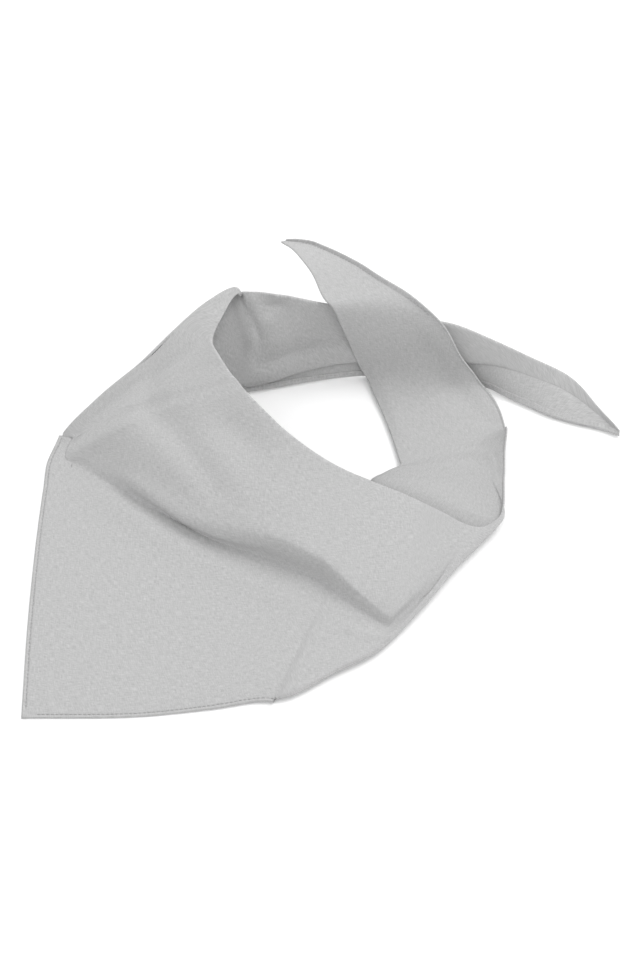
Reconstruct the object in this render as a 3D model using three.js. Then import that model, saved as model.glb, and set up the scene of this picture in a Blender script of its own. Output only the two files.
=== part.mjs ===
import * as THREE from 'three';

// A plain three-cornered neckerchief, laid down with its two ends crossed so that it rings a neck hollow.
// X runs to the right across the object, Y away from the front corner towards the crossing, Z up.

// Driving sizes in millimetres
const legLength = 750;
const collarHeight = 60;
const clothWall = 1.2;
const hemWidth = 6;
const hemWall = 2;
const seamGap = 0.5;
const foldGap = 3.4;
const flapGap = 2.4;
const browReach = 16;

// Steps of the surface: along the cloth in millimetres, and across each part of a section
const alongStep = 26;
const flapSteps = 9;
const foldSteps = 4;
const acrossSteps = [2, 2, 2, 1, 1, 1, 2, 2, 1, 2];
const hemSteps = 1;

// Sections of the cloth, from the tip of one tail round the front corner to the tip of the other.
// Each runs from the fold that rims the neck hollow to the hem of a short edge. A section that turns
// under passes over its turn, with the radius roll in millimetres, and comes back beneath to the hem.
// Places are hundredths of legLength, and heights above the lying cloth hundredths of collarHeight.
// Flap is the share of a section that the turned-in cloth reaches over, and spread the share of it
// that holds its first eight steering points.
const sections = [
  { fold: [18.4, 27.5, 3], hem: [18.9, 26.9, 2], flap: 0.3, spread: 0.4 },
  { fold: [15.2, 27.9, 7], hem: [17.1, 26.3, 2], flap: 0.25, spread: 0.6 },
  { fold: [11.6, 28.5, 14], hem: [14.1, 24.7, 2], flap: 0.2 },
  { fold: [10.1, 28.3, 20], hem: [12.4, 23.9, 2], flap: 0.16 },
  { fold: [6.1, 26.4, 38], hem: [9.5, 23.0, 2], flap: 0.3 },
  { fold: [2.0, 24.2, 58], hem: [6.9, 22.3, 2], flap: 0.45 },
  { fold: [-1.1, 22.2, 75], hem: [4.3, 21.7, 2], flap: 0.6 },
  { fold: [-4.2, 19.5, 86], hem: [0.9, 19.4, 2], flap: 0.7 },
  { fold: [-8.0, 16.5, 94], hem: [-2.8, 16.5, 2], flap: 0.75, spread: 0.7 },
  { fold: [-12.0, 13.4, 98], hem: [-6.3, 13.5, 2], flap: 0.8, spread: 0.6 },
  { fold: [-16.1, 10.7, 101], hem: [-10.2, 8.3, 2], flap: 0.87, spread: 0.4 },
  { fold: [-19.1, 8.6, 101], hem: [-12.4, 4.9, 2], flap: 0.55, spread: 0.3 },
  { fold: [-19.8, 6.8, 101], turn: [-20.6, 7.9, 94], roll: 3, hem: [-14.0, 2.5, 2], flap: 0.06 },
  { fold: [-18.6, 3.7, 99], turn: [-21.9, 4.5, 88], roll: 4, hem: [-15.5, -0.1, 2], flap: 0.14 },
  { fold: [-17.2, 0.9, 97], turn: [-22.3, -0.3, 73], roll: 4, hem: [-17.6, -4.1, 2], flap: 0.3 },
  { fold: [-15.5, 0.2, 96], turn: [-22.5, -5.1, 54], roll: 3.5, hem: [-19.5, -8.2, 2], flap: 0.38 },
  { fold: [-13.8, -0.2, 92], turn: [-23.4, -10.8, 29], roll: 3, hem: [-22.0, -13.0, 2], flap: 0.4 },
  { fold: [-12.3, -0.5, 90], turn: [-23.7, -15.4, 9], roll: 1.5, hem: [-22.6, -16.3, 2], flap: 0.4 },
  { fold: [-11.9, -0.5, 89], hem: [-23.5, -16.6, 4], foot: [-21.6, -14.2, 14], mid: 56, brow: 26, flap: 0.4 },
  { fold: [-10.1, -0.7, 84], hem: [-19.9, -21.6, 0], foot: [-17.8, -16.8, 0], mid: 52, brow: 20, flap: 0.36 },
  { fold: [-5.8, -0.8, 74], hem: [-9.3, -32.6, 0], foot: [-9.2, -15.0, 0], mid: 50, brow: 24, flap: 0.32 },
  { fold: [-1.8, -0.3, 61], hem: [-0.5, -41.0, 0], foot: [-2.2, -13.4, 0], mid: 46, brow: 26, flap: 0.26,
    corner: true },
  { fold: [2.2, 0.8, 49], hem: [8.4, -31.7, 0], foot: [4.4, -10.5, 0], mid: 40, brow: 24, flap: 0.3 },
  { fold: [3.8, 1.5, 44], hem: [12.0, -27.1, 0], foot: [7.0, -9.7, 0], mid: 36, brow: 23, flap: 0.33 },
  { fold: [5.4, 2.3, 39], hem: [15.4, -22.6, 5], foot: [9.8, -9.0, 6], mid: 33, brow: 22, flap: 0.36 },
  { fold: [5.9, 2.5, 38], turn: [16.1, -21.5, 7], roll: 2, hem: [15.1, -21.6, 2],
    foot: [10.6, -9.0, 7], mid: 32, brow: 21, flap: 0.38 },
  { fold: [8.2, 3.6, 33], turn: [17.9, -15.8, 7], roll: 2, hem: [12.8, -16.2, 2],
    foot: [14.2, -8.9, 8], mid: 28, brow: 20, flap: 0.4 },
  { fold: [10.6, 4.5, 29], turn: [19.3, -10.0, 8], roll: 2.5, hem: [10.0, -9.7, 2], flap: 0.42 },
  { fold: [13.1, 5.3, 26], turn: [18.9, -3.6, 12], roll: 3.5, hem: [7.4, -3.6, 2], flap: 0.3 },
  { fold: [15.4, 6.4, 23], turn: [18.1, 2.6, 13], roll: 4, hem: [5.4, 0.9, 2], flap: 0.15 },
  { fold: [16.5, 7.2, 21], turn: [17.9, 6.6, 13], roll: 3, hem: [4.6, 2.6, 2], flap: 0.06 },
  { fold: [16.6, 8.6, 20], turn: [17.7, 9.5, 13], roll: 3, hem: [4.0, 3.8, 3], flap: 0.06 },
  { fold: [14.5, 13.5, 14], hem: [4.3, 5.2, 3], flap: 0.3, spread: 0.35 },
  { fold: [12.1, 16.5, 14], hem: [4.6, 6.4, 3], flap: 0.7, spread: 0.5 },
  { fold: [10.0, 19.0, 16], hem: [4.9, 7.3, 4], flap: 0.8, spread: 0.7 },
  { fold: [9.3, 19.5, 11], hem: [4.5, 7.6, 4], flap: 0.2 },
  { fold: [4.6, 21.2, 12], hem: [-1.2, 10.9, 7], flap: 0.12 },
  { fold: [3.0, 21.1, 27], hem: [-3.8, 12.1, 8], flap: 0.12 },
  { fold: [1.6, 20.7, 47], hem: [-5.8, 12.9, 12], flap: 0.12 },
  { fold: [-1.6, 20.4, 94], hem: [-8.8, 12.8, 67], flap: 0.12 },
  { fold: [-6.6, 19.7, 111], hem: [-11.4, 12.7, 111], flap: 0.12 },
  { fold: [-11.2, 19.3, 109], hem: [-15.9, 14.7, 106], flap: 0.14 },
  { fold: [-15.1, 19.3, 99], hem: [-19.1, 16.0, 94], flap: 0.2 },
  { fold: [-19.6, 19.3, 81], hem: [-21.7, 17.0, 79], flap: 0.25, spread: 0.6 },
  { fold: [-23.3, 18.3, 64], hem: [-23.8, 17.6, 63], flap: 0.3, spread: 0.4 },
];
const planShare = legLength / 100;
const heightShare = collarHeight / 100;
const restHeight = clothWall / 2;
const evenSpread = 0.8;
const tipShare = 0.3;
const hemLead = [20, 16, 12, 7, 0];

// A place of the table as a point in millimetres
function place([x, y, z = 0]) {
  return new THREE.Vector3(x * planShare, y * planShare, z * heightShare + restHeight);
}

function between(start, end, share) {
  return start.clone().lerp(end, share);
}

// The slope of a section: five points from under the fold to the flat cloth, by way of the foot crease
function slope(section, fold, far) {
  if (!section.foot) {
    return [1, 2, 3, 4, 5].map((step) => between(fold, far, step / 6));
  }
  const foot = place(section.foot);
  const brow = between(foot, fold, browReach / foot.distanceTo(fold));
  brow.z = restHeight + section.brow * heightShare;
  const high = between(fold, brow, 0.36);
  const low = between(fold, brow, 0.72);
  low.z = restHeight + section.mid * heightShare;
  high.z = (fold.z + low.z) / 2;
  return [high, low, brow, foot, between(foot, far, 0.5)];
}

// Eleven points that steer one section: the fold, five down its slope, three round the turn, one
// beneath, and the hem
function steering(section) {
  const rim = place(section.fold);
  const hem = place(section.hem);
  const turn = section.turn ? place(section.turn) : null;
  const ahead = turn ?? hem;
  const nose = Math.min((foldGap + clothWall) / 2, rim.distanceTo(ahead) / 3);
  const fold = between(rim, ahead, nose / rim.distanceTo(ahead));
  if (turn) {
    const back = turn.clone().sub(fold).setLength(-section.roll);
    const over = turn.clone().add(back);
    over.z += section.roll;
    const beneath = turn.clone().add(back);
    beneath.z -= section.roll;
    return [fold, ...slope(section, fold, over), over, turn, beneath, between(beneath, hem, 0.5), hem];
  }
  if (section.foot) {
    const foot = place(section.foot);
    const ends = hemLead.map((lead) => between(hem, foot, lead / hem.distanceTo(foot)));
    ends.forEach((point, index) => {
      point.z = hem.z + (foot.z - hem.z) * hemLead[index] / hemLead[0];
    });
    return [fold, ...slope(section, fold, ends[0]), ...ends];
  }
  const spread = section.spread ?? evenSpread;
  const shares = [0, 1, 2, 3, 4, 5, 6, 7, 8].map((step) => spread * step / 8);
  return [...shares, (spread + 1) / 2, 1].map((share) => between(fold, hem, share));
}

// The slope of a curve at a knot, held in each direction so that the curve never passes its points
function heldSlope(before, here, after, stepBefore, stepAfter) {
  const left = here.clone().sub(before).divideScalar(stepBefore);
  const right = after.clone().sub(here).divideScalar(stepAfter);
  const weight = stepBefore / (stepBefore + stepAfter);
  const mean = between(left, right, weight);
  for (const axis of ['x', 'y', 'z']) {
    const limit = 2 * Math.min(Math.abs(left[axis]), Math.abs(right[axis]));
    const sameWay = left[axis] * right[axis] > 0;
    mean[axis] = sameWay ? Math.sign(mean[axis]) * Math.min(Math.abs(mean[axis]), limit) : 0;
  }
  return mean;
}

// A smooth curve through points at uneven knots, which may have a sharp corner at one of them
function smooth(knots, points, at, corner = -1) {
  let span = 0;
  while (span < knots.length - 2 && at > knots[span + 1]) {
    span += 1;
  }
  const width = knots[span + 1] - knots[span];
  const chord = points[span + 1].clone().sub(points[span]).divideScalar(width);
  const slopeAt = (index) => {
    if (index === 0 || index === knots.length - 1 || index === corner) {
      return chord.clone();
    }
    const stepBefore = knots[index] - knots[index - 1];
    const stepAfter = knots[index + 1] - knots[index];
    return heldSlope(points[index - 1], points[index], points[index + 1], stepBefore, stepAfter);
  };
  const t = (at - knots[span]) / width;
  return points[span].clone().multiplyScalar(2 * t ** 3 - 3 * t ** 2 + 1)
    .addScaledVector(slopeAt(span), width * (t ** 3 - 2 * t ** 2 + t))
    .addScaledVector(points[span + 1], 3 * t ** 2 - 2 * t ** 3)
    .addScaledVector(slopeAt(span + 1), width * (t ** 3 - t ** 2));
}

// Running distances along a row of points
function distances(points) {
  const run = [0];
  for (let index = 1; index < points.length; index += 1) {
    run.push(run[index - 1] + Math.max(points[index].distanceTo(points[index - 1]), 0.01));
  }
  return run;
}

// The stations of the surface: where each section lies along the cloth, and the steps between them
const steers = sections.map(steering);
const fold = 0;
const flat = 5;
const beneath = 8;
const hemPoint = 10;
const stepLengths = steers.slice(1).map((steer, index) => {
  const foldStep = steer[fold].distanceTo(steers[index][fold]);
  const hemStep = steer[hemPoint].distanceTo(steers[index][hemPoint]);
  return [(foldStep + hemStep) / 2, Math.max(foldStep, hemStep)];
});
const stationRun = [0];
const stations = [];
let cornerStation = 0;
stepLengths.forEach(([mean, longest], index) => {
  const parts = Math.max(1, Math.round(longest / alongStep));
  if (sections[index].corner) {
    cornerStation = stations.length;
  }
  for (let part = 0; part < parts; part += 1) {
    stations.push(stationRun[index] + mean * part / parts);
  }
  stationRun.push(stationRun[index] + mean);
});
stations.push(stationRun[stationRun.length - 1]);
const cornerSection = sections.findIndex((section) => section.corner);
const flaps = sections.map((section) => new THREE.Vector3(section.flap, 0, 0));

// The outer cloth: rows of points from the fold to the hem, one row for each station
const outer = stations.map((at) => {
  const steer = steers[0].map((_, column) => {
    const line = steers.map((points) => points[column]);
    return smooth(stationRun, line, at, column > flat ? cornerSection : -1);
  });
  const knots = distances(steer);
  const row = acrossSteps.flatMap((count, span) => Array.from({ length: count }, (_, step) => (
    smooth(knots, steer, knots[span] + (knots[span + 1] - knots[span]) * step / count))));
  return [...row, steer[hemPoint]];
});

// The direction square to the cloth at each point of a grid, towards its inner side
function squareTo(grid) {
  return grid.map((row, i) => row.map((_, j) => {
    const next = grid[Math.min(i + 1, grid.length - 1)][j];
    const last = grid[Math.max(i - 1, 0)][j];
    const across = row[Math.min(j + 1, row.length - 1)].clone().sub(row[Math.max(j - 1, 0)]);
    return next.clone().sub(last).cross(across).normalize();
  }));
}

// The point at a share of the way between two columns of a row, moved off towards the inner side,
// and the direction of that side
function pointAt(row, square, column, off) {
  const before = Math.min(Math.floor(column), row.length - 2);
  const side = between(square[before], square[before + 1], column - before).normalize();
  return { point: between(row[before], row[before + 1], column - before).addScaledVector(side, off), side };
}

// The column of a row, with its share, that lies at a distance from the fold
function columnAt(run, distance) {
  const before = Math.max(run.findLastIndex((length, index) => length <= distance && index < run.length - 1), 0);
  return before + (distance - run[before]) / (run[before + 1] - run[before]);
}

// The whole cloth of a row: the flap inside, the half round of the fold, and the outer cloth up to the
// hem, and beside it the hem, which is thicker and lies flush with the cloth's inner face
const inner = squareTo(outer);
const beneathColumn = acrossSteps.slice(0, beneath).reduce((sum, count) => sum + count, 0);
const cloth = [];
const edgeSides = [];
const hem = [];
outer.forEach((row, i) => {
  const run = distances(row);
  const total = run[run.length - 1];
  const reach = columnAt(run, total * smooth(stationRun, flaps, stations[i]).x);
  const gap = Math.max(flapGap, Math.min(foldGap, total * tipShare));
  const flap = Array.from({ length: flapSteps + 1 }, (_, step) => {
    const share = step / flapSteps;
    return pointAt(row, inner[i], reach * (1 - share), flapGap + (gap - flapGap) * share).point;
  });
  const nose = row[0].clone().sub(row[1]).setLength(gap / 2);
  const middle = row[0].clone().addScaledVector(inner[i][0], gap / 2);
  const round = Array.from({ length: foldSteps - 1 }, (_, step) => {
    const angle = Math.PI * (step + 1) / foldSteps;
    return middle.clone().addScaledVector(nose, Math.sin(angle))
      .addScaledVector(inner[i][0], Math.cos(angle) * gap / 2);
  });
  const hemReach = Math.min(hemWidth, total * tipShare);
  const start = run[beneathColumn];
  const squeeze = (total - hemReach - seamGap - start) / (total - start);
  const sheet = row.map((point, j) => (j < beneathColumn ? { point: point.clone() }
    : pointAt(row, inner[i], columnAt(run, start + (run[j] - start) * squeeze), 0)));
  cloth.push([...flap, ...round, ...sheet.map(({ point }) => point)]);
  edgeSides.push(sheet.map(({ side }) => side));
  hem.push(Array.from({ length: hemSteps + 1 }, (_, step) => (
    pointAt(row, inner[i], columnAt(run, total - hemReach * (1 - step / hemSteps)), (clothWall - hemWall) / 2))));
});

// A closed wall of even thickness about a grid of points, each with the direction of its inner side
function wall(grid, sides, thickness) {
  const height = grid.length;
  const width = grid[0].length;
  const positions = [];
  for (const half of [-thickness / 2, thickness / 2]) {
    grid.forEach((row, i) => row.forEach((point, j) => {
      positions.push(...point.clone().addScaledVector(sides[i][j], half));
    }));
  }
  const faces = [];
  const quad = (a, b, c, d) => faces.push(a, b, c, a, c, d);
  const low = (i, j) => i * width + j;
  const high = (i, j) => (height + i) * width + j;
  for (let i = 0; i < height - 1; i += 1) {
    for (let j = 0; j < width - 1; j += 1) {
      quad(high(i, j), high(i + 1, j), high(i + 1, j + 1), high(i, j + 1));
      quad(low(i, j), low(i, j + 1), low(i + 1, j + 1), low(i + 1, j));
    }
    quad(low(i, 0), low(i + 1, 0), high(i + 1, 0), high(i, 0));
    quad(low(i + 1, width - 1), low(i, width - 1), high(i, width - 1), high(i + 1, width - 1));
  }
  for (let j = 0; j < width - 1; j += 1) {
    quad(low(0, j + 1), low(0, j), high(0, j), high(0, j + 1));
    quad(low(height - 1, j), low(height - 1, j + 1), high(height - 1, j + 1), high(height - 1, j));
  }
  const geometry = new THREE.BufferGeometry();
  geometry.setAttribute('position', new THREE.Float32BufferAttribute(positions, 3));
  geometry.setIndex(faces);
  return geometry;
}

// The wall of one hem, with the end that meets the other hem at the front corner held clear of it
function hemWallOf(rows, end, neighbour) {
  const points = rows.map((row) => row.map(({ point }) => point));
  const held = points[end].map((point, j) => (
    between(point, points[neighbour][j], seamGap / point.distanceTo(points[neighbour][j]))));
  points[end] = held;
  return wall(points, rows.map((row) => row.map(({ side }) => side)), hemWall);
}

const greyCotton = { color: 0xb8b8b8, roughness: 0.9, metalness: 0 };
const neckerchief = new THREE.Group();

function addPiece(name, geometry) {
  const piece = new THREE.Mesh(geometry, new THREE.MeshStandardMaterial(greyCotton));
  piece.name = name;
  neckerchief.add(piece);
}

// Beside the hem the cloth takes its inner side from the same row as the hem does
const clothSides = squareTo(cloth).map((row, i) => row.map((side, j) => (
  edgeSides[i][j - flapSteps - foldSteps] ?? side)));

addPiece('cloth', wall(cloth, clothSides, clothWall));
addPiece('left_hem', hemWallOf(hem.slice(0, cornerStation + 1), cornerStation, cornerStation - 1));
addPiece('right_hem', hemWallOf(hem.slice(cornerStation), 0, 1));

// The origin is under the middle of the whole, at the level that it rests on
const box = new THREE.Box3().setFromObject(neckerchief, true);
const middle = box.getCenter(new THREE.Vector3());
for (const piece of neckerchief.children) {
  piece.position.set(-middle.x, -middle.y, -box.min.z);
}

export default neckerchief;
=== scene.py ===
import bpy
import numpy as np
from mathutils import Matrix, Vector


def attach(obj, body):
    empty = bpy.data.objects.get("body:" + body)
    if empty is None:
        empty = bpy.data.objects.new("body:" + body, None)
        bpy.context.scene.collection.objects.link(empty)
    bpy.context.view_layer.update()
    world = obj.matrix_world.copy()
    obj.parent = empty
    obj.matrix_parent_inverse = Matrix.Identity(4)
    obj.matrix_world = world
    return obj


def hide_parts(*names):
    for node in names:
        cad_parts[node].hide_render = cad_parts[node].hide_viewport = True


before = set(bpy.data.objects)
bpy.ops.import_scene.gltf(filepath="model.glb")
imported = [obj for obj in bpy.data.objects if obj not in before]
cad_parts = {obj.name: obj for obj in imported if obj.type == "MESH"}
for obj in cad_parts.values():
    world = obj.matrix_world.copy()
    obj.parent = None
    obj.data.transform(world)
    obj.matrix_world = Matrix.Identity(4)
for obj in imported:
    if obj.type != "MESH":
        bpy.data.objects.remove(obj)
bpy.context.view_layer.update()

# View
# The neckerchief lies on a plain white floor, seen from its front right, 55 degrees above the floor.
# The light is soft and comes from all over, with a large lamp above and behind.
LOOK_AT = np.array([0.0167, 0.0468, 0.0])
VIEW_TURN, VIEW_RISE, VIEW_DISTANCE = np.radians(45.0), np.radians(55.0), 1.6

camera = bpy.data.objects.new("camera", bpy.data.cameras.new("camera"))
bpy.context.scene.collection.objects.link(camera)
towards = np.array([np.sin(VIEW_TURN) * np.cos(VIEW_RISE), -np.cos(VIEW_TURN) * np.cos(VIEW_RISE),
                    np.sin(VIEW_RISE)])
camera.location = LOOK_AT + VIEW_DISTANCE * towards
camera.rotation_euler = Vector(-towards).to_track_quat("-Z", "Y").to_euler()
camera.data.lens = 75.0
camera.data.sensor_width = 36.0
camera.data.clip_start = 0.05
bpy.context.scene.camera = camera
bpy.context.scene.view_settings.view_transform = "Standard"
bpy.context.scene.view_settings.look = "None"


def new_material(name):
    """A node material with its Principled shader, which is returned with it."""
    material = bpy.data.materials.new(name)
    material.use_nodes = True
    return material, material.node_tree.nodes["Principled BSDF"]


def mesh_object(name, points, faces, uv=None):
    """An object at the origin from an array of points in metres and an array of four-cornered faces;
    uv holds one place on the flat cloth, in metres, for each point."""
    mesh = bpy.data.meshes.new(name)
    mesh.from_pydata(points, [], faces.tolist())
    if uv is not None:
        layer = mesh.uv_layers.new(name="flat_cloth")
        layer.data.foreach_set("uv", uv[faces.ravel()].astype(np.float32).ravel())
    mesh.shade_smooth()
    mesh.validate()
    piece = bpy.data.objects.new(name, mesh)
    bpy.context.scene.collection.objects.link(piece)
    return piece


FLOOR_HALF, FLOOR_DROP = 3.0, 0.0003
floor = mesh_object("floor", np.array([[-1, -1, 0], [1, -1, 0], [1, 1, 0], [-1, 1, 0]]) * FLOOR_HALF
                    - [0, 0, FLOOR_DROP], np.array([[0, 1, 2, 3]]))
floor_finish, floor_shader = new_material("white_floor")
floor_shader.inputs["Base Color"].default_value = (0.95, 0.95, 0.95, 1)
floor_shader.inputs["Roughness"].default_value = 0.9
floor.data.materials.append(floor_finish)

world = bpy.data.worlds.new("soft_light")
world.use_nodes = True
world.node_tree.nodes["Background"].inputs["Color"].default_value = (1, 1, 1, 1)
world.node_tree.nodes["Background"].inputs["Strength"].default_value = 1.03
bpy.context.scene.world = world

LAMP_PLACE = Vector((0.3, 4.2, 4.5))
lamp = bpy.data.objects.new("back_lamp", bpy.data.lights.new("back_lamp", "AREA"))
bpy.context.scene.collection.objects.link(lamp)
lamp.location = LAMP_PLACE
lamp.rotation_euler = LAMP_PLACE.to_track_quat("Z", "Y").to_euler()
lamp.data.size = 3.0
lamp.data.energy = 170

# Cloth
# One three-cornered piece of plain-woven cotton, its long edge turned in along the neck. It rises from
# the floor to a soft collar, passes beneath itself at both sides, and its two ends cross at the back.
LEG = 0.75  # the unit of places in the table of sections
COLLAR = 0.06  # the unit of heights there
CLOTH_WALL = 0.0008
REST_HEIGHT = 0.0006  # of the middle of the wall where the cloth lies flat
BROW_REACH = 16  # from the foot crease up to the brow, in millimetres
HIGH_SHARE, LOW_SHARE = 0.36, 0.72  # places on the slope between the fold and the brow
FOLD_GAP = 0.0026  # between the flap and the cloth behind it, at the fold
FLAP_GAP = 0.0018  # and at the flap's free edge
LEAST_GAP = 0.001
FLAP_CURL, CURLED_GAP = 0.003, 0.4  # the free edge curls in over this width, to this share of its gap
NOSE = 0.0023  # room for the half round between the cloth's last point and the rim
HEM_LEAD = np.array([20, 16, 12, 7, 0]) / 1000
EVEN_SPREAD = 0.8
TIP_SHARE = 0.3  # of a section's length, the most that a gap or a hem takes near the tips
ROW_STEP = 0.0042
TIGHT_SECTIONS = slice(10, 12)  # where the collar starts to pass beneath itself, with twice the rows
SPAN_COLUMNS = [11, 10, 10, 10, 14, 14, 8, 7, 7, 9]
FOLD, FLAT, HEM = 0, 5, 10  # of a section's eleven points: the fold, the last before a turn, the hem

# Places are hundredths of LEG, about the length of a short edge of the cloth, and heights hundredths of
# the collar's height. Each section runs from the fold that rims the neck to the hem. turn is where it
# passes beneath itself, with the radius roll in millimetres. foot is the crease where the collar meets the
# lying cloth, mid and brow are heights on the slope above it, and reach sets the brow's distance from it
# in millimetres. lead scales the five points that end at the hem. spread is the share of the length that
# the first nine points take, and sag the share in which the height falls away. flap is how far the flap
# reaches in, as a share, and edge and gap are its distance from the cloth behind it, in millimetres, at
# its free edge and at the fold. corner marks the section at the front corner.
SECTIONS = [
    dict(fold=(18.4, 27.5, 3), hem=(18.9, 26.9, 2), flap=0.3, edge=0.2, spread=0.4),
    dict(fold=(15.2, 27.9, 7), hem=(17.1, 26.3, 2), flap=0.3, edge=0.2, spread=0.6),
    dict(fold=(11.6, 28.5, 14), hem=(14.1, 24.7, 2), flap=0.3, edge=0.2),
    dict(fold=(10.1, 28.3, 20), hem=(12.4, 23.9, 2), flap=0.3, edge=0.2),
    dict(fold=(6.1, 26.4, 38), hem=(9.5, 23, 2), flap=0.35, edge=0.2),
    dict(fold=(2, 24.2, 58), hem=(6.9, 22.3, 2), flap=0.45, edge=1),
    dict(fold=(-1.1, 22.2, 75), hem=(4.3, 21.7, 2), flap=0.6, edge=3),
    dict(fold=(-4.2, 19.5, 86), hem=(0.9, 19.4, 2), flap=0.7, edge=4),
    dict(fold=(-8, 16.5, 94), hem=(-2.8, 16.5, 2), flap=0.76, spread=0.7, edge=4),
    dict(fold=(-12, 13.4, 98), hem=(-6.3, 13.5, 2), flap=0.8, spread=0.6, edge=4),
    dict(fold=(-16.1, 10.7, 101), hem=(-10.2, 8.3, 2), flap=0.87, spread=0.4, edge=4),
    dict(fold=(-19.1, 8.6, 101), hem=(-12.4, 4.9, 2), flap=0.935, spread=0.3, edge=4, gap=1),
    dict(fold=(-19.8, 6.8, 101), turn=(-20.6, 7.9, 94), roll=3, hem=(-14, 2.5, 2),
         flap=0.96, edge=3, gap=1),
    dict(fold=(-18.6, 3.7, 99), turn=(-21.9, 4.5, 88), roll=4, hem=(-15.5, -0.1, 2),
         flap=0.9, edge=1.6, gap=1),
    dict(fold=(-17.2, 0.9, 97), turn=(-22.3, -0.3, 73), roll=4, hem=(-17.6, -4.1, 2), flap=0.42),
    dict(fold=(-15.5, 0.2, 96), turn=(-22.5, -5.1, 54), roll=3.5, hem=(-19.5, -8.2, 2),
         foot=(-20.3, -3.5, 69), mid=85, brow=78, flap=0.38),
    dict(fold=(-13.8, -0.2, 92), turn=(-23.4, -10.8, 29), roll=3, hem=(-22, -13, 2),
         foot=(-21.5, -8.7, 41), mid=71, brow=54, flap=0.4),
    dict(fold=(-12.3, -0.5, 90), turn=(-23.7, -15.4, 7), roll=1.3, hem=(-23.3, -16.1, 2),
         foot=(-22.4, -14.2, 13), mid=56, brow=27, flap=0.4),
    dict(fold=(-12.1, -0.5, 89.5), hem=(-23.8, -16, 4.5), foot=(-22.4, -14.9, 9),
         mid=53, brow=24, flap=0.4, lead=0.2),
    dict(fold=(-11.9, -0.5, 89), hem=(-23.5, -16.6, 2), foot=(-22.3, -15.6, 6), mid=51, brow=21, flap=0.4),
    dict(fold=(-11.2, -0.6, 87), hem=(-22.4, -18.8, 0.5), foot=(-21, -17.4, 2), mid=48, brow=13, reach=13,
         flap=0.4),
    dict(fold=(-10.1, -0.7, 84), hem=(-19.9, -21.6, 0), foot=(-17.8, -16.8, 0), mid=45, brow=8,
         reach=9, flap=0.42),
    dict(fold=(-5.8, -0.8, 74), hem=(-9.3, -32.6, 0), foot=(-9.2, -15, 0), mid=43, brow=11,
         reach=6, flap=0.38),
    dict(fold=(-1.8, -0.3, 61), hem=(-0.5, -41, 0),
         foot=(-2.2, -13.4, 0), mid=42, brow=22, flap=0.3, corner=True, reach=7.5),
    dict(fold=(2.2, 0.8, 49), hem=(8.4, -31.7, 0), foot=(4.4, -10.5, 0.5), mid=40, brow=34,
         reach=10, flap=0.34),
    dict(fold=(3.8, 1.5, 44), hem=(12, -27.1, 1), foot=(7, -9.7, 2.5), mid=36, brow=33, flap=0.37, reach=10),
    dict(fold=(5.4, 2.3, 39), hem=(15.4, -22.6, 2.5), foot=(9.8, -9, 4), mid=33, brow=30, flap=0.36, reach=9),
    dict(fold=(5.7, 2.4, 38.5), hem=(15.8, -22.3, 3), foot=(10.3, -9, 4.5), mid=32, brow=29,
         lead=0.2, reach=9, flap=0.37),
    dict(fold=(5.9, 2.5, 38), turn=(16.1, -21.5, 4.5), roll=2, hem=(15.1, -21.6, 2),
         foot=(10.6, -9, 5), mid=32, brow=29, flap=0.38, reach=9),
    dict(fold=(8.2, 3.6, 33), turn=(17.9, -15.8, 7), roll=2, hem=(12.8, -16.2, 2),
         foot=(14.2, -8.9, 8), mid=28, brow=24, flap=0.4, reach=8),
    dict(fold=(10.6, 4.5, 29), turn=(19.3, -10, 8), roll=2.5, hem=(10, -9.7, 2), foot=(18.2, -8.3, 9),
         mid=26, brow=19, reach=8, flap=0.42),
    dict(fold=(13.1, 5.3, 26), turn=(18.9, -3.6, 12), roll=3.5, hem=(7.4, -3.6, 2),
         foot=(18.3, -2.6, 13), mid=22, brow=18, reach=14, flap=0.1, edge=0.8, gap=1.4),
    dict(fold=(15.6, 6, 24), turn=(18.1, 2.6, 13), roll=4, hem=(5.4, 0.9, 2), flap=0.012, gap=0.9, edge=0),
    dict(fold=(16.9, 7.2, 21), turn=(17.9, 6.6, 13), roll=3, hem=(4.6, 2.6, 2), flap=0.012, edge=0, gap=0.9),
    dict(fold=(17.2, 8.9, 19), turn=(17.7, 9.2, 13), roll=1.5, hem=(4, 3.8, 3), flap=0.012, edge=0, gap=0.9),
    dict(fold=(14.5, 13.5, 16), hem=(4.3, 5.2, 3), flap=0.012, edge=0, spread=0.12, gap=0.9, sag=0.45),
    dict(fold=(11.9, 16.5, 19), hem=(4.6, 6.4, 3), flap=0.012, edge=0, spread=0.3, gap=0.9, sag=0.4),
    dict(fold=(10.6, 18.2, 24), hem=(4.9, 7.3, 4), flap=0.012, edge=0, spread=0.7, gap=0.9, sag=0.34),
    dict(fold=(9.6, 19.1, 4.5), hem=(4.5, 7.6, 4), flap=0.012, edge=0, gap=0.9),
    dict(fold=(4.6, 21.2, 12), hem=(-1.2, 10.9, 7), flap=0.02, edge=0, gap=1),
    dict(fold=(3, 21.1, 27), hem=(-3.8, 12.1, 8), flap=0.02, edge=0, gap=1),
    dict(fold=(1.6, 20.7, 47), hem=(-5.8, 12.9, 12), flap=0.02, edge=0, gap=1),
    dict(fold=(-1.6, 20.4, 94), hem=(-8.8, 12.8, 67), flap=0.02, edge=0, gap=1),
    dict(fold=(-6.6, 19.7, 111), hem=(-11.4, 12.7, 111), flap=0.06, edge=0),
    dict(fold=(-11.2, 19.3, 109), hem=(-15.9, 14.7, 106), flap=0.06, edge=0),
    dict(fold=(-15.1, 19.3, 99), hem=(-19.1, 16, 94), flap=0.06, edge=0),
    dict(fold=(-19.6, 19.3, 81), hem=(-21.7, 17, 79), flap=0.06, edge=0, spread=0.6),
    dict(fold=(-23.3, 18.3, 64), hem=(-23.8, 17.6, 63), flap=0.06, edge=0, spread=0.4),
]


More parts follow.
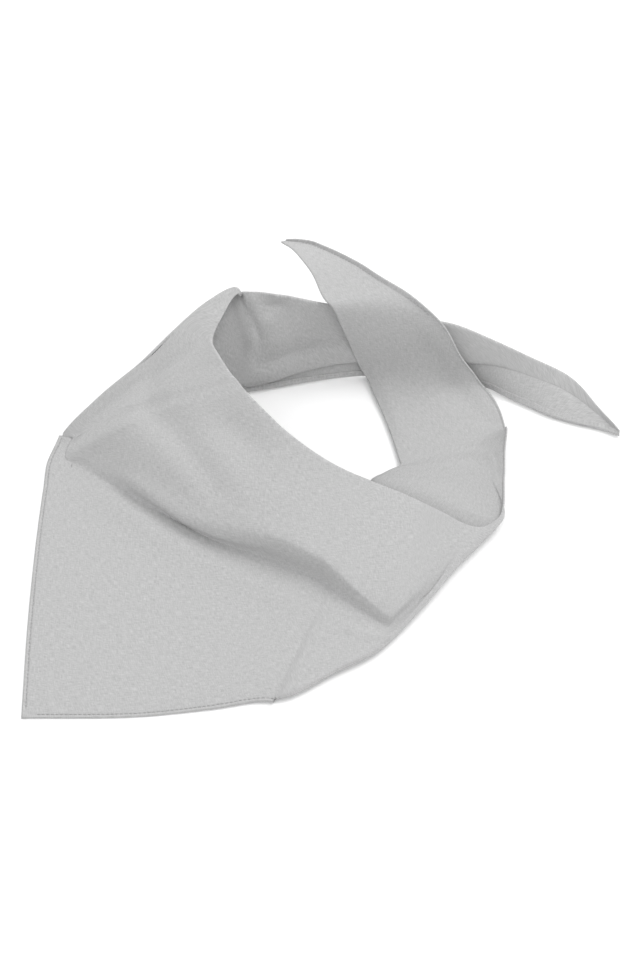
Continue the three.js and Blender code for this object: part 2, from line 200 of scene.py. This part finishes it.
def placed(place):
    """A place of the table in metres, before the whole is moved over its origin."""
    x, y, z = (tuple(place) + (0,))[:3]
    return np.array([x * LEG / 100, y * LEG / 100, z * COLLAR / 100 + REST_HEIGHT])


def between(start, end, share):
    """The point a share of the way from start to end."""
    return start + (end - start) * share


def slope_points(section, fold, far):
    """Five points from under the fold to the flat cloth, by way of the foot crease if there is one."""
    if "foot" not in section:
        return [between(fold, far, step / 6) for step in (1, 2, 3, 4, 5)]
    foot = placed(section["foot"])
    brow = between(foot, fold, section.get("reach", BROW_REACH) / 1000 / np.linalg.norm(foot - fold))
    brow[2] = REST_HEIGHT + section["brow"] * COLLAR / 100
    high, low = between(fold, brow, HIGH_SHARE), between(fold, brow, LOW_SHARE)
    low[2] = REST_HEIGHT + section["mid"] * COLLAR / 100
    high[2] = (fold[2] + low[2]) / 2
    return [high, low, brow, foot, between(foot, far, 0.5)]


def steering(section):
    """Eleven points that steer one section: the fold, five down its slope, three round the turn, one
    beneath, and the hem."""
    rim, hem = placed(section["fold"]), placed(section["hem"])
    ahead = placed(section["turn"]) if "turn" in section else hem
    length = np.linalg.norm(ahead - rim)
    fold = between(rim, ahead, min(NOSE, length / 3) / length)
    if "turn" in section:
        radius = section["roll"] / 1000
        back = (fold - ahead) / np.linalg.norm(fold - ahead) * radius
        over, beneath = ahead + back + [0, 0, radius], ahead + back - [0, 0, radius]
        return [fold, *slope_points(section, fold, over), over, ahead, beneath,
                between(beneath, hem, 0.5), hem]
    if "foot" in section or "lead" in section:
        near = placed(section["foot"]) if "foot" in section else fold
        lead = HEM_LEAD * section.get("lead", 1)
        ends = hem + (near - hem) * (lead / np.linalg.norm(near - hem))[:, None]
        if "foot" in section:
            ends[:, 2] = hem[2] + (near[2] - hem[2]) * lead / HEM_LEAD[0]
        return [fold, *slope_points(section, fold, ends[0]), *ends]
    spread = section.get("spread", EVEN_SPREAD)
    shares = np.append(np.linspace(0, spread, 9), [(spread + 1) / 2, 1])
    line = fold + (hem - fold) * shares[:, None]
    if "sag" in section:
        line[:, 2] = hem[2] + (fold[2] - hem[2]) * np.clip(1 - shares / section["sag"], 0, 1)**2
    return list(line)


def smooth(knots, points, span, share, corner=None):
    """Places on smooth curves along the first axis: a cubic piece between each two knots, whose slope at
    a knot is the mean of its neighbours', held so that the curve never passes its points. span and share
    say which piece and how far along it. At a corner each side keeps its own slope."""
    step = np.diff(knots, axis=0)[..., None]
    chord = np.diff(points, axis=0) / step
    left, right = chord[:-1], chord[1:]
    mean = left + (right - left) * step[:-1] / (step[:-1] + step[1:])
    limit = 2 * np.minimum(abs(left), abs(right))
    held = np.where(left * right > 0, np.sign(mean) * np.minimum(abs(mean), limit), 0)
    start, end = np.concatenate([chord[:1], held]), np.concatenate([held, chord[-1:]])
    if corner is not None:
        end[corner - 1, FLAT + 1:] = chord[corner - 1, FLAT + 1:]
        start[corner, FLAT + 1:] = chord[corner, FLAT + 1:]
    t = share.reshape((-1,) + (1,) * (points.ndim - 1))
    return (points[span] * (2 * t**3 - 3 * t**2 + 1) + points[span + 1] * (3 * t**2 - 2 * t**3)
            + step[span] * (start[span] * (t**3 - 2 * t**2 + t) + end[span] * (t**3 - t**2)))


def run_along(points):
    """Running distances along the first axis of an array of points."""
    steps = np.maximum(np.linalg.norm(np.diff(points, axis=0), axis=-1), 1e-5)
    return np.concatenate([np.zeros((1,) + steps.shape[1:]), np.cumsum(steps, axis=0)])


steers = np.array([steering(section) for section in SECTIONS])
corner_section = [section.get("corner", False) for section in SECTIONS].index(True)
edge_steps = np.linalg.norm(np.diff(steers[:, [FOLD, HEM]], axis=0), axis=-1)
section_run = np.append(0, np.cumsum(edge_steps.mean(axis=1)))
row_counts = np.maximum(2, np.round(edge_steps.max(axis=1) / ROW_STEP).astype(int))
row_counts[TIGHT_SECTIONS] *= 2
row_span = np.append(np.repeat(np.arange(len(row_counts)), row_counts), len(row_counts) - 1)
row_share = np.append(np.concatenate([np.arange(count) / count for count in row_counts]), 1.0)
row_run = section_run[row_span] + np.diff(section_run)[row_span] * row_share
corner_row = int(np.argmin(abs(row_run - section_run[corner_section])))

# The outer cloth, a grid of points by row and column from the fold to the hem
row_steers = smooth(section_run[:, None], steers, row_span, row_share, corner_section)
column_span = np.append(np.repeat(np.arange(HEM), SPAN_COLUMNS), HEM - 1)
column_share = np.append(np.concatenate([np.arange(count) / count for count in SPAN_COLUMNS]), 1.0)
across = row_steers.transpose(1, 0, 2)
outer = smooth(run_along(across), across, column_span, column_share).transpose(1, 0, 2)


def inner_sides(grid):
    """The direction square to a grid of points, towards the cloth's inner side."""
    along = np.empty_like(grid)
    along[1:-1], along[0], along[-1] = grid[2:] - grid[:-2], grid[1] - grid[0], grid[-1] - grid[-2]
    over = np.empty_like(grid)
    over[:, 1:-1] = grid[:, 2:] - grid[:, :-2]
    over[:, 0], over[:, -1] = grid[:, 1] - grid[:, 0], grid[:, -1] - grid[:, -2]
    side = np.cross(along, over)
    return side / np.maximum(np.linalg.norm(side, axis=-1, keepdims=True), 1e-12)


# Soft folds pressed into the cloth: each follows a line on it, whose points end with the fold's strength
# there. It sinks towards the inner side by sink millimetres, or rises where sink is less than nothing,
# over a width in millimetres to the line's left and another to its right. rows are the sections between
# which it shows, and it fades out within FOLD_FADE of a section at both.
FOLD_FADE = 0.5
FOLDS = [
    dict(rows=(13, 29), sink=-2.2, widths=(7, 12), line=[(-19.5, -18.6, 0, 0), (-15.8, -18, 0, 0.5),
         (-12.1, -17.4, 0, 1), (-5.6, -16.6, 0, 1), (2.7, -14.5, 0, 0.8), (7.3, -13.1, 0, 0.6),
         (13.7, -12.3, 8, 0)]),
    dict(rows=(17, 27), sink=-4, widths=(9, 3), line=[(-20.3, -16.2, 3, 0), (-17.8, -15.7, 10, 0),
         (-15.2, -15.1, 10, 0.15), (-13, -14.8, 10, 0.8), (-11.1, -14.5, 10, 1), (-6, -13.9, 10, 1.3),
         (-2, -12.8, 12, 0.9), (3, -10.5, 16, 0.3), (9, -8.6, 12, 0)]),
    dict(rows=(12, 24), sink=4, widths=(13, 11), line=[(-22.1, -2.8, 69, 0.4), (-19.8, -6, 60, 0.7),
         (-16.8, -8.8, 60, 1), (-13.1, -8.8, 60, 1), (-8, -9.7, 50, 1), (-5.2, -10, 44, 0.8),
         (-2.2, -9.3, 42, 0)]),
    dict(rows=(18, 25), sink=4, widths=(15, 15), line=[(-12, -3.5, 75, 0), (-9.5, -4.6, 75, 1),
         (-6.2, -4.5, 70, 1), (-2.5, -4.2, 62, 0)]),
    dict(rows=(25, 31), sink=-1.5, widths=(4, 5), line=[(13.2, -12.2, 8, 0), (15.6, -11.3, 9, 1),
         (19.3, -9.3, 10, 0.6)]),
    dict(rows=(7, 11), sink=-5, widths=(4, 7), line=[(-20.5, 3.9, 71, 0.4), (-19.9, 4.9, 71, 0.7),
         (-17.7, 7.5, 83, 1), (-16, 9.6, 93, 1), (-14.6, 11, 100, 0)]),
    dict(rows=(7, 12), sink=-3.5, widths=(6, 6), line=[(-15.1, 4.1, 22, 0.8), (-13.5, 6.6, 34, 1),
         (-11.5, 10.1, 46, 1), (-9.6, 12.9, 55, 0)]),
    dict(rows=(7, 12), sink=2.5, widths=(5, 5), line=[(-14.4, 3.8, 14, 0.6), (-12.7, 6.5, 24, 1),
         (-10.8, 10, 34, 1), (-8.8, 12.7, 39, 1)]),
    dict(rows=(10, 14), sink=3.6, widths=(16, 2), line=[(-16.9, 6.9, 64, 0), (-16.4, 6.1, 52, 1),
         (-16, 4.6, 32, 1), (-15.6, 2.4, 13, 0.8)]),
    dict(rows=(38, 44), sink=-2.5, widths=(12, 9), line=[(-4.9, 17.6, 95, 0), (-1.6, 18, 55, 1),
         (1.4, 18.4, 20, 1), (4.5, 18.6, 10, 0.6)]),
    dict(rows=(38, 45), sink=-2, widths=(6, 6), line=[(4.9, 7.3, 4, 0), (-1.2, 10.9, 7, 1),
         (-5.8, 12.9, 12, 1), (-8.8, 12.8, 67, 0.4)]),
    dict(rows=(37.8, 40), sink=-2, widths=(6, 6), line=[(6.7, 17.1, 9, 0), (7.9, 18.1, 10, 1),
         (9.2, 19.2, 10, 1)]),
]


def fold_sinks(points, side, fold):
    """How far each point sinks for one fold: its sink, times the line's strength at the nearest point,
    times e to the minus square of distance over width. The distance is measured in the surface."""
    line = np.array([placed(point[:3]) for point in fold["line"]])
    strengths = np.array([point[3] for point in fold["line"]])
    nearest = np.full(points.shape[:-1], np.inf)
    sink = np.zeros(points.shape[:-1])
    for start, end, first, last in zip(line[:-1], line[1:], strengths[:-1], strengths[1:]):
        along = end - start
        share = np.clip((points - start) @ along / (along @ along), 0, 1)
        apart = points - start - along * share[..., None]
        apart -= side * (apart * side).sum(axis=-1, keepdims=True)
        distance = np.linalg.norm(apart, axis=-1)
        on_left = (np.cross(along, apart) * side).sum(axis=-1) < 0
        width = np.where(on_left, *fold["widths"]) / 1000
        here = np.exp(-(distance / width)**2) * (first + (last - first) * share)
        sink = np.where(distance < nearest, here, sink)
        nearest = np.minimum(nearest, distance)
    return sink * fold["sink"] / 1000


# Only the upper layer takes the folds, not the cloth that has passed beneath a turn
section_of_row = row_span + row_share
turned = smooth(section_run[:, None], np.array([[[float("turn" in section), 0, 0]] for section in SECTIONS]),
                row_span, row_share)[:, 0, 0]
upper = 1 - turned[:, None] * (column_span >= FLAT + 1)[None, :]
sides = inner_sides(outer)
sinks = np.zeros(outer.shape[:2])
for fold in FOLDS:
    first, last = fold["rows"]
    ends = np.clip(np.minimum(section_of_row - first, last - section_of_row) / FOLD_FADE, 0, 1)
    sinks += fold_sinks(outer, sides, fold) * ends[:, None] * upper
outer = outer + sides * sinks[..., None]

sides = inner_sides(outer)
reach = run_along(outer.transpose(1, 0, 2)).T
total = reach[:, -1]

# The way along the hem's edge at each row
edge_along = np.empty_like(outer[:, -1])
edge_along[1:-1] = outer[2:, -1] - outer[:-2, -1]
edge_along[0], edge_along[-1] = edge_along[1], edge_along[-2]
edge_along /= np.linalg.norm(edge_along, axis=-1, keepdims=True)


def at_reach(distance, off=0.0):
    """Points of the outer cloth, row by row, at distances from the fold, moved off to the inner side."""
    distance = np.broadcast_to(distance, (len(outer), np.shape(distance)[-1]))
    off = np.broadcast_to(off, distance.shape)
    points, normals = np.empty(distance.shape + (3,)), np.empty(distance.shape + (3,))
    for axis in range(3):
        for values, source in ((points, outer), (normals, sides)):
            values[..., axis] = [np.interp(far, run, row) for far, run, row
                                 in zip(distance, reach, source[..., axis])]
    normals /= np.maximum(np.linalg.norm(normals, axis=-1, keepdims=True), 1e-12)
    return points + normals * off[..., None], normals


# Each row's way in from the hem's edge, and how far its slant to the edge stretches distances from it
HEM_WIDTH, STITCH_IN, LEAST_SINE = 0.0046, 0.0025, 0.65
beside_edge, beside_sides = at_reach((total - np.minimum(HEM_WIDTH, total * TIP_SHARE))[:, None])
inward = beside_edge[:, 0] - outer[:, -1]
inward /= np.linalg.norm(inward, axis=-1, keepdims=True)
edge_side = beside_sides[:, 0]
skew = 1 / np.clip(np.linalg.norm(np.cross(inward, edge_along), axis=-1), LEAST_SINE, 1)
hem_room = np.minimum(1, total * TIP_SHARE / HEM_WIDTH) * skew

# The outer cloth is drawn in along the stitches of the hem, and stands a little proud at its edge. No
# stitches show past the section LAST_STITCHED, except at the tip.
LAST_STITCHED = 33
DENT_DEPTH, DENT_WIDTH = 0.0003, 0.0008
PROUD_HEIGHT, PROUD_WIDTH = 0.0002, 0.003
from_edge = (total[:, None] - reach) / skew[:, None]
drawn_in = (DENT_DEPTH * np.exp(-((from_edge - STITCH_IN) / DENT_WIDTH)**2)
            - PROUD_HEIGHT * np.exp(-(from_edge / PROUD_WIDTH)**2))
drawn_in *= (section_of_row < LAST_STITCHED)[:, None]
outer = outer + sides * drawn_in[..., None]

# The turned-in flap and the half round of the fold, which join the outer cloth in one grid. The flap's
# columns lie closer together towards its free edge, which curls in along a quarter of a circle.
FLAP_COLUMNS, ROUND_STEPS, EDGE_CROWDING = 16, 5, 1.5
flap_columns = np.array([[[section["flap"], section.get("edge", FLAP_GAP * 1000) / 1000,
                           section.get("gap", FOLD_GAP * 1000) / 1000]] for section in SECTIONS])
flap_share, edge_gap, fold_gap = smooth(section_run[:, None], flap_columns, row_span, row_share)[:, 0].T
gap = np.clip(total * TIP_SHARE, LEAST_GAP, fold_gap)
step_in = 1 - np.linspace(0, 1, FLAP_COLUMNS)**EDGE_CROWDING
from_free = total[:, None] * flap_share[:, None] * (1 - step_in)
curl = CURLED_GAP + (1 - CURLED_GAP) * np.sqrt(1 - (1 - np.minimum(from_free / FLAP_CURL, 1))**2)
flap, _ = at_reach(total[:, None] * flap_share[:, None] * step_in,
                   (edge_gap[:, None] + (gap - edge_gap)[:, None] * (1 - step_in)) * curl)
nose = outer[:, 0] - outer[:, 1]
nose /= np.linalg.norm(nose, axis=-1, keepdims=True)
angle = (np.pi * np.arange(1, ROUND_STEPS) / ROUND_STEPS)[None, :, None]
half_gap = (gap / 2)[:, None, None]
half_round = (outer[:, :1] + sides[:, :1] * half_gap + nose[:, None] * np.sin(angle) * half_gap
              + sides[:, :1] * np.cos(angle) * half_gap)
cloth_grid = np.concatenate([flap, half_round, outer], axis=1)


def wall(grid, side, thickness):
    """A closed wall about a grid: its points moved half a thickness each way along the inner side, and
    four-cornered faces over both faces and round the rims."""
    rows, columns = grid.shape[:2]
    points = np.concatenate([(grid - side * thickness / 2).reshape(-1, 3),
                             (grid + side * thickness / 2).reshape(-1, 3)])
    index = np.arange(rows * columns).reshape(rows, columns)
    low = np.stack([index[:-1, :-1], index[:-1, 1:], index[1:, 1:], index[1:, :-1]], axis=-1)
    high = low[..., ::-1] + rows * columns
    border = np.concatenate([index[0, :], index[1:, -1], index[-1, -2::-1], index[-2::-1, 0]])
    start, end = border[:-1], border[1:]
    rim = np.stack([end, start, start + rows * columns, end + rows * columns], axis=-1)
    return points, np.concatenate([low.reshape(-1, 4), high.reshape(-1, 4), rim])


SHIFT = np.array([0.01671, 0.04676, 0.0])


def over_origin(points):
    """Points of the table moved so that the origin lies under the middle of the whole."""
    return points + SHIFT


# Places on the flat cloth, for the weave: the front corner is at the origin, and a short edge, drawn
# LEG long, lies along each axis
hem_run = run_along(outer[:, -1:])[:, 0]
hem_from_corner = (hem_run - hem_run[corner_row]) * LEG / (hem_run[-1] / 2)
fold_run = run_along(outer[:, :1])[:, 0]
hem_flat = np.stack([np.maximum(hem_from_corner, 0), np.maximum(-hem_from_corner, 0)], axis=-1)
long_edge = (fold_run / fold_run[-1])[:, None]
fold_flat = (np.array([0, LEG]) + np.array([LEG, -LEG]) * long_edge
             - (flap_share * total)[:, None] / np.sqrt(2))
toward = hem_flat - fold_flat
signed_reach = np.concatenate([-total[:, None] * flap_share[:, None] * step_in,
                               np.zeros((len(outer), ROUND_STEPS - 1)), reach], axis=1)
cloth_flat = fold_flat[:, None] + toward[:, None] * (signed_reach / total[:, None])[..., None]

cloth_points, cloth_faces = wall(cloth_grid, inner_sides(cloth_grid), CLOTH_WALL)
cloth = mesh_object("cloth_sheet", over_origin(cloth_points), cloth_faces,
                    np.tile(cloth_flat.reshape(-1, 2), (2, 1)))
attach(cloth, "root")
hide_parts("cloth")


def group_node(tree, kind, **settings):
    """A new node in a tree, with its own settings."""
    node = tree.nodes.new(kind)
    for name, value in settings.items():
        setattr(node, name, value)
    return node


THREAD_WIDTH, WEAVE_DEPTH = 0.0006, 0.0001
SLUB_STRETCHES = ((0.9, 0.1, 1), (0.1, 0.9, 1))  # along each of the two ways of thread


def plain_weave_group():
    """The node group for plain weave: threads along both axes of the flat cloth, each a little lighter or
    darker along its length, and their over-and-under relief, the product of a sine along each axis."""
    group = bpy.data.node_groups.new("plain_weave", "ShaderNodeTree")
    for name, kind, way in (("Flat Cloth", "NodeSocketVector", "INPUT"),
                            ("Thread Width", "NodeSocketFloat", "INPUT"),
                            ("Slub", "NodeSocketFloat", "INPUT"),
                            ("Tone", "NodeSocketFloat", "OUTPUT"),
                            ("Relief", "NodeSocketFloat", "OUTPUT")):
        group.interface.new_socket(name=name, in_out=way, socket_type=kind)
    inside = group_node(group, "NodeGroupInput")
    outside = group_node(group, "NodeGroupOutput")
    link = group.links.new

    def math(operation, first, second):
        """The result of a Math node on two numbers or sockets."""
        node = group_node(group, "ShaderNodeMath", operation=operation)
        for socket, value in zip(node.inputs, (first, second)):
            if isinstance(value, (int, float)):
                socket.default_value = value
            else:
                link(value, socket)
        return node.outputs[0]

    threads = group_node(group, "ShaderNodeVectorMath", operation="SCALE")
    link(inside.outputs["Flat Cloth"], threads.inputs[0])
    link(math("DIVIDE", 1.0, inside.outputs["Thread Width"]), threads.inputs["Scale"])
    parts = group_node(group, "ShaderNodeSeparateXYZ")
    link(threads.outputs[0], parts.inputs[0])
    over = [math("SINE", math("MULTIPLY", parts.outputs[axis], np.pi), 0.0) for axis in (0, 1)]
    link(math("MULTIPLY", over[0], over[1]), outside.inputs["Relief"])
    slubs = []
    for stretch in SLUB_STRETCHES:
        mapping = group_node(group, "ShaderNodeMapping")
        mapping.inputs["Scale"].default_value = stretch
        link(threads.outputs[0], mapping.inputs["Vector"])
        noise = group_node(group, "ShaderNodeTexNoise", noise_dimensions="2D")
        noise.inputs["Scale"].default_value = 1.0
        noise.inputs["Detail"].default_value = 2.0
        link(mapping.outputs[0], noise.inputs["Vector"])
        slubs.append(noise.outputs[0])
    wave = math("ADD", math("ADD", slubs[0], slubs[1]), -1.0)
    link(math("ADD", math("MULTIPLY", wave, inside.outputs["Slub"]), 1.0), outside.inputs["Tone"])
    return group


weave_group = plain_weave_group()


def weave_into(material, shader, grey, slub, relief):
    """Lays the weave into a material: its tone times a grey as colour, and its relief as bump. Sets the
    shader's roughness and sheen to those of matt cotton."""
    tree = material.node_tree
    link = tree.links.new
    place = group_node(tree, "ShaderNodeUVMap", uv_map="flat_cloth")
    weave = group_node(tree, "ShaderNodeGroup", node_tree=weave_group)
    weave.inputs["Thread Width"].default_value = THREAD_WIDTH
    weave.inputs["Slub"].default_value = slub
    link(place.outputs["UV"], weave.inputs["Flat Cloth"])
    colour = group_node(tree, "ShaderNodeVectorMath", operation="SCALE")
    colour.inputs[0].default_value = grey
    link(weave.outputs["Tone"], colour.inputs["Scale"])
    link(colour.outputs[0], shader.inputs["Base Color"])
    bump = group_node(tree, "ShaderNodeBump")
    bump.inputs["Strength"].default_value = relief
    bump.inputs["Distance"].default_value = WEAVE_DEPTH
    link(weave.outputs["Relief"], bump.inputs["Height"])
    link(bump.outputs["Normal"], shader.inputs["Normal"])
    shader.inputs["Roughness"].default_value = 0.92
    shader.inputs["Sheen Weight"].default_value = 0.15
    shader.inputs["Sheen Roughness"].default_value = 0.6


cotton, cotton_shader = new_material("grey_cotton")
weave_into(cotton, cotton_shader, (0.42, 0.42, 0.42), 0.45, 0.4)
cloth.data.materials.append(cotton)

# Hems
# The two short edges of the same cloth, each rolled twice to the inner side and pressed flat. The roll
# just shows as a narrow bead round the edge, and it thins where the stitches draw it in.
HEM_PROFILE = np.array([  # from the edge inwards, and towards the inner side, in millimetres
    (4.6, 0.4), (2.4, 0.42), (0.7, 0.42), (0.3, 0.2), (0.15, -0.3), (-0.15, -0.3), (-0.4, 0.1), (-0.4, 0.7),
    (-0.1, 1.2), (0.6, 1.4), (2.0, 1.4), (3.2, 1.0), (4.1, 1.25), (4.6, 1.0)]) / 1000


def hem_ring(rows, way):
    """The hem's profile carried along the edge of some rows, on the inner side or, with way -1, the outer."""
    room = hem_room[rows][:, None, None]
    profile = HEM_PROFILE[None, ::way]
    ring = (outer[rows, -1][:, None] + inward[rows][:, None] * profile[..., :1] * room
            + edge_side[rows][:, None] * profile[..., 1:] * way)
    return ring, cloth_flat[rows, -1][:, None] + np.broadcast_to(profile, ring.shape[:2] + (2,))


def hem_roll(name, runs):
    """Closed tubes in one object, one for each run of rows and the side that it lies on."""
    points, flats, faces, count = [], [], [], 0
    for rows, way in runs:
        ring, flat = hem_ring(rows, way)
        index = np.arange(ring[..., 0].size).reshape(ring.shape[:2]) + count
        near, far = index[:-1], index[1:]
        faces.append(np.stack([near, np.roll(near, -1, axis=1), np.roll(far, -1, axis=1), far],
                              axis=-1).reshape(-1, 4))
        for end, turn in ((index[0], -1), (index[-1], 1)):
            faces += [np.array([[end[k], end[k + 1], end[-k - 2], end[-k - 1]][::turn]])
                      for k in range(len(end) // 2 - 1)]
        points.append(ring.reshape(-1, 3))
        flats.append(flat.reshape(-1, 2))
        count += ring[..., 0].size
    piece = mesh_object(name, over_origin(np.concatenate(points)), np.concatenate(faces),
                        np.concatenate(flats))
    piece.data.materials.append(cotton)
    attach(piece, "root")
    return piece


# Past the section LAST_STITCHED the cloth lies the other way up, and the roll is kept beneath it, on its
# outer side
turn_row = int(np.searchsorted(section_of_row, LAST_STITCHED))
left_hem = hem_roll("left_hem_roll", [(slice(0, corner_row + 1), 1)])
right_hem = hem_roll("right_hem_roll", [(slice(corner_row, turn_row), 1), (slice(turn_row, None), -1)])
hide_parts("left_hem")
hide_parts("right_hem")

# Stitching
# One row of plain lockstitch in grey thread along each hem, just inside its edge. Each stitch is a short
# bow of thread that dips into the cloth at both ends, on the outer face and again on the inner one.
STITCH_PITCH, STITCH_LENGTH, THREAD = 0.0034, 0.0027, 0.00026
STITCH_RINGS, STITCH_SIDES = 5, 6
BOW_END, BOW_RISE = 0.12, 1.2  # the bow's first angle in radians, and its height in thread radii


def stitches_along(path, lift, away):
    """Points and faces of stitches at even steps along a path: each a bow, thick in the middle and
    pointed at its ends, that stands off the path by lift along the direction away."""
    run = run_along(path[:, None])[:, 0]
    middle = np.arange(STITCH_PITCH / 2, run[-1] - STITCH_PITCH / 2, STITCH_PITCH)
    at = middle[:, None] + np.linspace(-0.5, 0.5, STITCH_RINGS)[None] * STITCH_LENGTH
    line = np.stack([np.interp(at, run, path[:, axis]) for axis in range(3)], axis=-1)
    up = np.stack([np.interp(at, run, away[:, axis]) for axis in range(3)], axis=-1)
    up /= np.linalg.norm(up, axis=-1, keepdims=True)
    ahead = line[:, -1:] - line[:, :1]
    ahead = ahead / np.linalg.norm(ahead, axis=-1, keepdims=True)
    across = np.cross(ahead, up)
    across /= np.linalg.norm(across, axis=-1, keepdims=True)
    bow = np.sin(np.linspace(BOW_END, np.pi - BOW_END, STITCH_RINGS))[None, :, None]
    centre = line + up * (lift - THREAD + THREAD * BOW_RISE * bow)
    turn = np.linspace(0, 2 * np.pi, STITCH_SIDES, endpoint=False)
    ring = (np.cos(turn)[:, None] * across[:, :, None] + np.sin(turn)[:, None] * up[:, :, None])
    points = centre[:, :, None] + ring * (THREAD * bow**0.5)[..., None]
    index = np.arange(points[..., 0].size).reshape(points.shape[:3])
    near, far = index[:, :-1], index[:, 1:]
    tube = np.stack([near, far, np.roll(far, -1, axis=2), np.roll(near, -1, axis=2)], axis=-1)
    first, last = index[:, 0], index[:, -1]
    caps = np.concatenate([first[:, [0, 1, 2, 3]], first[:, [0, 3, 4, 5]],
                           last[:, [3, 2, 1, 0]], last[:, [5, 4, 3, 0]]])
    return points.reshape(-1, 3), np.concatenate([tube.reshape(-1, 4), caps])


def stitch_rows(name, runs):
    """One object of several runs of stitches."""
    points, faces, count = [], [], 0
    for path, lift, away in runs:
        more, sides_of = stitches_along(path, lift, away)
        points.append(more)
        faces.append(sides_of + count)
        count += len(more)
    piece = mesh_object(name, over_origin(np.concatenate(points)), np.concatenate(faces))
    piece.data.materials.append(thread)
    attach(piece, "root")
    return piece


thread, thread_shader = new_material("grey_thread")
thread_shader.inputs["Base Color"].default_value = (0.33, 0.33, 0.33, 1)
thread_shader.inputs["Roughness"].default_value = 0.7

# The stitching starts a few rows in from the tips and past the front corner
TIP_CLEAR, CORNER_CLEAR, END_CLEAR = 3, 2, 4
stitch_line = outer[:, -1] + inward * STITCH_IN * hem_room[:, None]
left_rows, right_rows = slice(TIP_CLEAR, corner_row), slice(corner_row + CORNER_CLEAR, turn_row)
FACE_OUT, FACE_IN = 0.0003, 0.0011
hem_stitches = stitch_rows("hem_stitches", [
    (stitch_line[rows], lift, edge_side[rows] * way)
    for rows in (left_rows, right_rows) for lift, way in ((FACE_OUT, -1), (FACE_IN, 1))])

# Along the tail where the table ends, a row of stitches also runs beside the fold, on the side that shows
TIP_SECTION, TIP_STITCH_IN, TIP_LIFT = 42.2, 0.003, 0.0005
tip_rows = slice(int(np.searchsorted(section_of_row, TIP_SECTION)), len(outer) - END_CLEAR)
tip_line, tip_side = at_reach(np.full((len(outer), 1), TIP_STITCH_IN))
tip_stitches = stitch_rows("tip_stitches", [
    (tip_line[tip_rows, 0], TIP_LIFT, tip_side[tip_rows, 0])])
